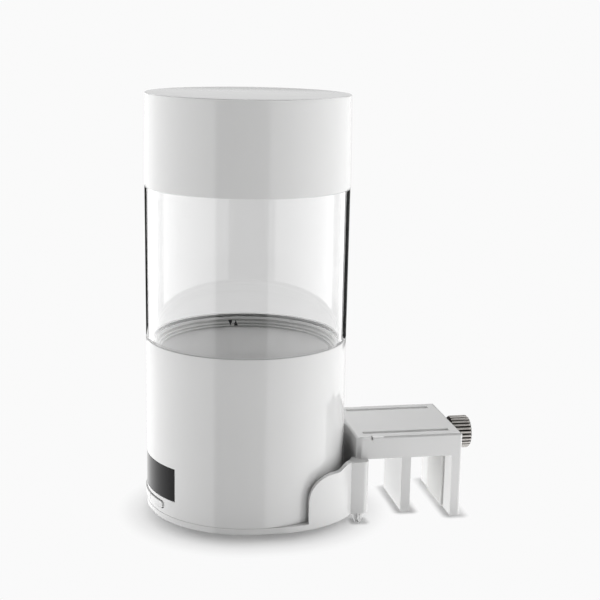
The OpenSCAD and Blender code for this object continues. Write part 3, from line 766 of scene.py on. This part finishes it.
# %% Hopper ring
FLOOR_R, FLOOR_LOW, FLOOR_TOP, COLLAR_OUT = 27.3, 52.1, 53.6, 30.1
DECK_TOP, LIP_Z, LIP_T, RING_BORE, SHELL_IN, FIT = 46.0, 51.0, 0.8, 26.9, 31.0, 0.1
RISERS, GROOVE_IN, RISER_LEAN = [29.50, 28.85, 28.10], 0.45, 0.1

stair, top = [], COLLAR_TOP
for r, (low, high) in zip(RISERS, RING_GROOVES):
    stair += [(r + RISER_LEAN, top), (r, high), (r + GROOVE_IN, high), (r + GROOVE_IN, low)]
    top = low
ring_corners = [
    (RING_BORE, DECK_TOP), (SHELL_IN - FIT, DECK_TOP), (SHELL_IN - FIT, LIP_Z), (NECK_OUT, LIP_Z),
    (NECK_OUT, LIP_Z + LIP_T), (COLLAR_OUT, LIP_Z + LIP_T), (COLLAR_OUT, COLLAR_TOP), *stair,
    (FLOOR_R + FIT, FLOOR_TOP), (FLOOR_R + FIT, FLOOR_LOW), (RING_BORE, FLOOR_LOW)]
ring_radii = [0.0] * 6 + [0.06] + [0.10, 0.05, 0.0, 0.0] * len(RISERS) + [0.0] * 3
ring_surface = patch(revolve(rounded(ring_corners, ring_radii, 4)), True, True)
piece("hopper_seat", [ring_surface], "base", ["hopper_ring"], ring_white)

# %% [markdown]
# ## Base shell
#
# The base shell is a tube with three openings: the recess of the display window, the pill-shaped slot
# of the keys and the charging socket. Cutting them with booleans would leave ragged shading on a
# glossy wall. Here the wall is a grid whose rows and columns run exactly along the openings' borders,
# and each pill gets a patch that blends from its outline to the rectangle left out round it.


# %% Outlines on a round wall
def on_wall(angle, u, z, r):
    """A point of a round wall: u sideways from a direction, z up, r out from the axis."""
    out = np.array([math.cos(angle), math.sin(angle)])
    side = np.array([-math.sin(angle), math.cos(angle)])
    flat = np.sqrt(r * r - u * u)[..., None] * out + u[..., None] * side
    return np.concatenate([flat, z[..., None]], -1)


def quarters(share):
    """Which of four sides each share of the way round falls on, and how far along that side."""
    t = np.asarray(share) * 4
    side = np.minimum(t.astype(int), 3)
    return side, t - side


def rectangle(u0, u1, z0, z1, share):
    """Points of a rectangle's border at the given shares of the way round, from the low left corner."""
    side, f = quarters(share)
    u = np.choose(side, [u0 + (u1 - u0) * f, u1 + 0 * f, u1 + (u0 - u1) * f, u0 + 0 * f])
    z = np.choose(side, [z0 + 0 * f, z0 + (z1 - z0) * f, z1 + 0 * f, z1 + (z0 - z1) * f])
    return u, z


def pill(half, r, z, share):
    """A pill: straight sides of length 2 (half - r) joined by half circles, from the low left end."""
    side, f = quarters(share)
    run, across, up = half - r, r * np.sin(np.pi * f), r * np.cos(np.pi * f)
    u = np.choose(side, [-run + 2 * run * f, run + across, run - 2 * run * f, -run - across])
    return u, z + np.choose(side, [-r + 0 * f, -up, r + 0 * f, up])


print("a quarter of the way round a pill:", [float(v[0]) for v in pill(3, 1, 0, [0.25])])

# %% Walls with openings
SLOT_SOFT, SLOT_ROWS, NEAR_BORDER = 0.15, 6, 0.004
ROUND = np.linspace(0, 1, 160, endpoint=False)


def pill_slot(angle, half, r, z, room, r_out, r_in):
    """Patches of a pill-shaped slot: the wall from pill to rectangle, outside and in, and its sides."""
    wide = pill(half + SLOT_SOFT, r + SLOT_SOFT, z, ROUND)
    tight = pill(half, r, z, ROUND)
    frame_out = rectangle(-room[0], room[0], room[1], room[2], ROUND)
    share = np.linspace(0, 1, SLOT_ROWS)[:, None]
    ring = [wide[k] * (1 - share) + frame_out[k] * share for k in (0, 1)]
    inner = [tight[k] * (1 - share) + frame_out[k] * share for k in (0, 1)]
    sides = [(wide, r_out), (tight, r_out - SLOT_SOFT), (tight, r_in)]
    return [
        patch(on_wall(angle, *ring, r_out), wrap_columns=True, flip=True),
        patch(on_wall(angle, *inner, r_in), wrap_columns=True),
        patch(np.stack([on_wall(angle, *line, r) for line, r in sides]), wrap_columns=True),
    ]


def wall_with_holes(r, rows, holes, flip):
    """A round wall as a grid over angle and height, without the quads inside the holes' rectangles."""
    borders = [a for low, high, _, _ in holes for a in (low, high)]
    even = np.linspace(0, 2 * np.pi, TURN, endpoint=False)
    angles = np.unique(np.concatenate([even, borders]))
    far = np.abs(angles[:, None] - np.array(borders)[None]).min(1)
    angles = angles[(far == 0) | (far > NEAR_BORDER)]
    z = np.asarray(rows, float)
    grid = np.stack(np.broadcast_arrays(r * np.cos(angles), r * np.sin(angles), z[:, None]), -1)
    mid_a = (angles + np.append(angles[1:], angles[0] + 2 * np.pi)) / 2
    mid_z = (z[1:] + z[:-1]) / 2
    keep = np.ones((len(mid_z), len(mid_a)), bool)
    for low, high, bottom, top in holes:
        in_height, in_angle = (mid_z > bottom) & (mid_z < top), (mid_a > low) & (mid_a < high)
        keep &= ~(in_height[:, None] & in_angle[None])
    return patch(grid, wrap_columns=True, keep=keep, flip=flip)


print("a slot's border has", len(ROUND), "points")

# %% Openings of the base
WINDOW_HALF, WINDOW_LOW, WINDOW_HIGH = math.radians(38.45), 7.6, 18.7
WINDOW_IN, WINDOW_SINK, LEDGE = WINDOW_HALF - math.radians(2.5), 31.8, 1.4
KEY_FACE_R, KEY_SPREAD, KEY_CLEAR = 33.4, math.radians(28), 0.25
KEYS_HALF, KEY_Z, KEY_H = KEY_FACE_R * math.sin(KEY_SPREAD), 5.0, 2.1
USB_ANGLE, USB_Z, USB_HALF, USB_R = math.radians(108), 10.0, 4.7, 1.8
KEY_ROOM = (18.2, 2.6, WINDOW_LOW - 0.1)  # half width, low edge, high edge
USB_ROOM = (6.2, WINDOW_LOW, 12.3)
BORDER = np.linspace(0, 1, 244, endpoint=False)


def holes_at(r, window_half, low, high):
    """The rectangles that a wall of radius r leaves out, as angle from, angle to, z from, z to."""
    keys, usb = math.asin(KEY_ROOM[0] / r), math.asin(USB_ROOM[0] / r)
    return [
        (math.pi - window_half, math.pi + window_half, low, high),
        (math.pi - keys, math.pi + keys, KEY_ROOM[1], KEY_ROOM[2]),
        (USB_ANGLE - usb, USB_ANGLE + usb, USB_ROOM[1], USB_ROOM[2]),
    ]


sill, lintel = WINDOW_LOW + LEDGE, WINDOW_HIGH - LEDGE
recess_rings = [
    (WINDOW_HALF, WINDOW_LOW, WINDOW_HIGH, BODY_R),
    (WINDOW_HALF, WINDOW_LOW, WINDOW_HIGH, WINDOW_SINK),
    (WINDOW_IN, sill, lintel, WINDOW_SINK),
    (WINDOW_IN, sill, lintel, SHELL_IN)]
recess = []
for half, low, high, r in recess_rings:
    a, z = rectangle(math.pi - half, math.pi + half, low, high, BORDER)
    recess.append(np.stack([r * np.cos(a), r * np.sin(a), z], -1))
key_slot = pill_slot(
    math.pi, KEYS_HALF + KEY_CLEAR, KEY_H / 2 + KEY_CLEAR, KEY_Z, KEY_ROOM, BODY_R, SHELL_IN)
usb_slot = pill_slot(USB_ANGLE, USB_HALF, USB_R, USB_Z, USB_ROOM, BODY_R, SHELL_IN)
print("window", round(WINDOW_HIGH - WINDOW_LOW, 1), "mm high, keys", KEY_H, "mm")

# %% Base shell
PLATE_T, EDGE, CAP_T, CAP_EDGE = 2.1, 0.25, 1.05, 0.2
PLAIN_ROWS, TOP_ROW = [24, 30, 40], 50

rows = [KEY_ROOM[1], KEY_Z, KEY_ROOM[2], WINDOW_LOW, sill, USB_ROOM[2], lintel, WINDOW_HIGH,
        *PLAIN_ROWS]
rows_out = [PLATE_T + EDGE, *rows, TOP_ROW, SEAM_Z - EDGE]
rows_in = [PLATE_T, *rows, LIP_Z]
outer = wall_with_holes(
    BODY_R, rows_out, holes_at(BODY_R, WINDOW_HALF, WINDOW_LOW, WINDOW_HIGH), False)
inner = wall_with_holes(SHELL_IN, rows_in, holes_at(SHELL_IN, WINDOW_IN, sill, lintel), True)
cap_corners = [(BODY_R, PLAIN_ROWS[-1]), (BODY_R, SEAM_Z), (BODY_R - CAP_T, SEAM_Z),
               (BODY_R - CAP_T, LIP_Z), (SHELL_IN, LIP_Z)]
cap = rounded(cap_corners, [0, EDGE, CAP_EDGE, 0, 0])[1:]
foot = rounded([(SHELL_IN, PLATE_T), (BODY_R, PLATE_T), (BODY_R, PLAIN_ROWS[0])], [0, EDGE, 0])[:-1]
shell_patches = [
    outer, inner, patch(revolve(cap), wrap_columns=True), patch(revolve(foot), wrap_columns=True),
    patch(np.stack(recess), wrap_columns=True), *key_slot, *usb_slot]
piece("base_shell", shell_patches, "base", ["body_shell"], gloss_white)

# %% [markdown]
# ## Pieces that keep their solid's shape
#
# The clamp, the plate with its wings and the keys are prismatic mouldings whose CAD shape is already
# right, or nearly so; but their edges are too sharp to be plastic. A copy of the solid has its loose
# triangles merged and flat neighbours dissolved, and a Bevel modifier then rolls a small radius along
# every edge. The solid itself is left alone.

# %% Softened copies
SHARP, CRISP, FLAT = math.radians(28), math.radians(35), math.radians(0.6)
MERGE, EDGE_STEPS, EVEN_WEIGHT = 0.05, 3, 80


def anywhere(middle):
    """Every edge: true for each row of middle points."""
    return np.full(len(middle), True)


def as_it_is(points):
    """No change of shape."""
    return points


def softened(name, node, edge, body, material, where=anywhere, reshape=as_it_is):
    """A merged copy of a solid with a radius of edge millimetres along its sharp edges.

    An edge is sharp when its two faces meet at more than a limit; where picks among them by the edges'
    middle points in millimetres. reshape moves the copy's points, in millimetres, first.
    """
    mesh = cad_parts[node].data.copy()
    mesh.name = name
    points = np.empty(3 * len(mesh.vertices), np.float32)
    mesh.vertices.foreach_get("co", points)
    points = reshape(points.reshape(-1, 3) / MM) * MM
    mesh.vertices.foreach_set("co", points.astype(np.float32).ravel())
    merge = bmesh.new()
    merge.from_mesh(mesh)
    bmesh.ops.remove_doubles(merge, verts=merge.verts, dist=MERGE * MM)
    bmesh.ops.dissolve_limit(merge, angle_limit=FLAT, verts=merge.verts, edges=merge.edges)
    angles = np.array([e.calc_face_angle(0.0) for e in merge.edges])
    ends = np.array([[v.co for v in e.verts] for e in merge.edges])
    merge.to_mesh(mesh)
    merge.free()
    chosen = (angles > SHARP) & where(ends.mean(1) / MM)
    weights = mesh.attributes.new("bevel_weight_edge", "FLOAT", "EDGE")
    weights.data.foreach_set("value", chosen.astype(np.float32))
    mesh.shade_smooth()
    mesh.set_sharp_from_angle(angle=CRISP)
    obj = bpy.data.objects.new(name, mesh)
    bpy.context.scene.collection.objects.link(obj)
    bevel = obj.modifiers.new("edge_radius", "BEVEL")
    bevel.width, bevel.segments, bevel.limit_method = edge * MM, EDGE_STEPS, "WEIGHT"
    bevel.use_clamp_overlap = True
    even = obj.modifiers.new("even_shading", "WEIGHTED_NORMAL")
    even.keep_sharp, even.weight = True, EVEN_WEIGHT
    dress(obj, body, [node], material)
    print(name, len(mesh.polygons), "faces,", int(chosen.sum()), "edges of", edge, "mm")


print("edges over", round(math.degrees(SHARP)), "degrees get a radius")

# %% [markdown]
# Two mouldings are eased on the way. The plate's wings sink a little towards the posts, and the hidden
# backs of the posts slant, so that no bright sliver shows past them. The clamp's arm stands on thin
# feet, and its catch slopes down to the arm's rounded edge. Moving the copy's points is enough, because
# no face is added or lost.

# %% Winged plate
SEAT_Z, POST_X, POST_IN, POST_FRONT, POST_SLANT = 18.0, 31.5, 14.0, 20.8, 0.29
WING_DROP, SHOULDER_X, SHOULDER_RUN, WING_END = 0.95, 15.9, 13.1, 31.4
JUST_AT, JUST_OFF = 0.02, 0.1


def in_sight(middle):
    """Edges of the plate that the shell doesn't cover: true beyond a radius."""
    return np.hypot(middle[:, 0], middle[:, 1]) > BODY_R - 0.5


def slanted(x, y, back):
    """x of the points at the back of posts or feet, moved out the more, the further in they lie."""
    return np.where(back, x + POST_SLANT * (POST_FRONT - np.abs(y)), x)


def lower_wings(points):
    """Wings eased down along x: z less a smooth step, nothing at the shoulder and full at the post."""
    x, y, z = points.T
    share = np.clip((x - SHOULDER_X) / SHOULDER_RUN, 0, 1)
    drop = WING_DROP * share * share * (3 - 2 * share)
    above_plate = (np.hypot(x, y) > BODY_R + JUST_OFF) & (z > PLATE_T + JUST_OFF)
    wing = above_plate & ((x < WING_END) | (z > SEAT_Z + JUST_OFF))
    post_back = (np.abs(x - POST_X) < JUST_AT) & (np.abs(y) > POST_IN) & (z > PLATE_T)
    return np.stack([slanted(x, y, post_back), y, np.where(wing, z - drop, z)], -1)


softened(
    "winged_plate", "base_plate", 0.35, "base", gloss_white, in_sight, lower_wings)

# %% Clamp bracket
FOOT_TOP, SOLID_FOOT_TOP, FOOT_END, FOOT_IN, FOOT_BACK = 18.2, 19.4, 38.5, 15.5, 33.0
ARM_TOP, ARM_HALF_W, FOOT_WIDE, WING_TOP = 25.6, 17.4, 0.6, 20
CATCH_END, CATCH_LOW, CATCH_IN, CATCH_WIDE, CATCH_DROP = 44.5, 23, 16.2, 1.35, 0.45
SLIT_X, SLIT_REACH, SLIT_IN, SLIT_LOW = 39.4, 0.5, 15.9, 24.0
SLIT_NEAR, SLIT_NEAR_NOW, SLIT_FLOOR, SLIT_FLOOR_NOW = 39.1, 39.35, 24.2, 24.5


def plain_edges(middle):
    """Edges of the arm apart from those at the feet's inner ends and round the catches."""
    x, y, z = middle.T
    outside = np.abs(y) > FOOT_IN
    at_foot = (x < FOOT_END) & outside & (z > SEAT_Z - JUST_OFF) & (z < FOOT_TOP + JUST_OFF)
    at_wing = (x < FOOT_BACK) & (z < WING_TOP)
    at_catch = (x > FOOT_END) & (x < CATCH_END) & outside & (z > CATCH_LOW)
    return ~(at_foot | at_wing | at_catch)


def thin_feet(points):
    """Thin feet, a narrow slit, and a catch whose top slopes down to the arm's rounded edge."""
    x, y, z = points.T
    foot_top = (np.abs(z - SOLID_FOOT_TOP) < JUST_AT) & (np.abs(y) > FOOT_IN) & (x < FOOT_END)
    z = np.where(foot_top, FOOT_TOP, z)
    outside = np.abs(y) > ARM_HALF_W - FOOT_WIDE
    x = slanted(x, y, (x < FOOT_BACK) & outside & (z > SEAT_Z - JUST_OFF))
    outwards = np.clip((np.abs(y) - CATCH_IN) / CATCH_WIDE, 0, 1)
    z = np.where(z > ARM_TOP + JUST_OFF, ARM_TOP - CATCH_DROP * outwards, z)
    slit = (np.abs(x - SLIT_X) < SLIT_REACH) & (np.abs(y) > SLIT_IN) & (z > SLIT_LOW)
    x = np.where(slit & (x < SLIT_NEAR), SLIT_NEAR_NOW, x)
    z = np.where(slit & (z < SLIT_FLOOR), SLIT_FLOOR_NOW, z)
    return np.stack([x, y, z], -1)


softened(
    "clamp_bracket", "clamp_arm", 0.25, "base", gloss_white, plain_edges, thin_feet)

# %% Jaws, pads, window and keys
softened("jaw_plate", "sliding_jaw", 0.25, "jaw", gloss_white)
softened("display_glass", "display_window", 0.12, "base", smoked)
softened("end_pad", "end_jaw_pad", 0.3, "base", pale_silicone)
softened("sliding_pad", "jaw_pad", 0.25, "jaw", pale_silicone)
for name in ("left", "middle", "right"):
    softened(name + "_key_cap", "key_" + name, 0.2, name + "_key", gloss_white)

# %% [markdown]
# ## Thumb knob and clamp screw
#
# The knob is a lathe shape whose radius also ripples with the angle: that is all a straight knurl is.
# The screw's thread is the same idea with the ripple running along a helix.

# %% Thumb knob
KNOB_R, KNOB_NEAR, KNOB_FAR, RIDGES, RIDGE_STEPS = 5.6, 71.1, 78.1, 26, 14
KNOB_BORE, CHAMFER, DISH_OUT, DISH_IN, DISH_DEEP = 1.9, 0.6, 3.6, 3.3, 0.4
KNURL_DEEP, KNURL_LAND, KNURL_SWING, KNURL_IN, KNURL_FADE = 0.5, 0.28, 0.9, 4.6, 0.8


def lie_along_x(points, z):
    """Turns a lathe shape from the Z axis to lie along X at height z: X, Y, Z become Z, X, Y."""
    return np.stack([points[..., 2], points[..., 0], points[..., 1] + z], -1)


def knurl(r, x, a):
    """Radius less a groove: a flattened cosine of the angle, fading out over the chamfered rims."""
    groove = np.clip(KNURL_LAND - KNURL_SWING * np.cos(RIDGES * a), 0, 1)
    depth = KNURL_DEEP * np.clip((r - KNURL_IN) / KNURL_FADE, 0, 1)
    return r - depth * groove


knob_corners = [
    (KNOB_BORE, KNOB_NEAR), (KNOB_R - CHAMFER, KNOB_NEAR), (KNOB_R, KNOB_NEAR + CHAMFER),
    (KNOB_R, KNOB_FAR - CHAMFER), (KNOB_R - CHAMFER, KNOB_FAR), (DISH_OUT, KNOB_FAR),
    (DISH_IN, KNOB_FAR - DISH_DEEP), (0, KNOB_FAR - DISH_DEEP)]
knob_profile = rounded(knob_corners, [0, 0.2, 0.25, 0.25, 0.2, 0.1, 0.1, 0], 4)
knob_points = lie_along_x(revolve(knob_profile, RIDGES * RIDGE_STEPS, knurl), SCREW_Z)
knob_surface = patch(knob_points, wrap_columns=True)
piece("knurled_knob", [knob_surface], "thumb_screw", ["thumb_knob"], dark_steel, 50)

# %% Clamp screw
SCREW_R, SCREW_NEAR, SCREW_FAR, SCREW_TIP, SCREW_TURN = 2.0, 37.2, 76.1, 0.35, 40
THREAD_PITCH, THREAD_DEEP, THREAD_START, THREAD_END, THREAD_STEPS = 0.7, 0.36, 38.0, 66.0, 9
ROOT_FLAT, FLANK, FADE_IN, FADE_OUT = 1.15, 1.3, 0.7, 0.5


def thread(r, x, a):
    """Radius less a V groove that climbs one pitch in each turn; plain at the ends and in the bush."""
    phase = (x / THREAD_PITCH + a / (2 * np.pi)) % 1
    depth = THREAD_DEEP * np.clip(ROOT_FLAT - np.abs(2 * phase - 1) * FLANK, 0, 1)
    begun = np.clip((x - THREAD_START) / FADE_IN, 0, 1)
    ended = np.clip((THREAD_END - x) / FADE_OUT, 0, 1)
    return r - depth * (begun * ended)


shank = np.arange(SCREW_NEAR + SCREW_TIP, SCREW_FAR, THREAD_PITCH / THREAD_STEPS)
screw_profile = np.concatenate([
    [[0, SCREW_NEAR], [SCREW_R - SCREW_TIP, SCREW_NEAR]],
    np.stack([np.full_like(shank, SCREW_R), shank], -1),
    [[SCREW_R, SCREW_FAR], [0, SCREW_FAR]]])
screw_points = lie_along_x(revolve(screw_profile, SCREW_TURN, thread), SCREW_Z)
screw_surface = patch(screw_points, wrap_columns=True)
piece("threaded_screw", [screw_surface], "thumb_screw", ["clamp_screw"], steel, 60)

# %% [markdown]
# ## The solids that stay
#
# Everything inside the base keeps its CAD shape, because nothing about it needs softening. It still
# gets the finish of the real part, so that it looks right when the lid and bin come off or when the
# pieces are used on their own.

# %% Finishes of the kept solids
kept = {
    stippled: ["floor_disc"],
    inner_white: ["rotor_deck", "outlet_chute", "motor_bracket", "dosing_wheel"],
    dark_plastic: ["display_module", "tact_switches"],
    nylon: ["rotor_gear"],
    pale_silicone: ["bin_seal", "lid_seal"],
    board: ["control_board"],
    sleeve: ["battery_cell"],
    steel: ["usb_socket", "gear_motor", "base_screws", "deck_screws", "rotor_shaft", "shaft_clip",
            "motor_shaft", "screw_clip"],
    brass: ["shaft_bush", "screw_bush", "drive_pinion", "jaw_nut"],
}
for material, nodes in kept.items():
    for node in nodes:
        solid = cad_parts[node]
        solid.data.materials.clear()
        solid.data.materials.append(material)
print("kept solids:", sum(len(nodes) for nodes in kept.values()))
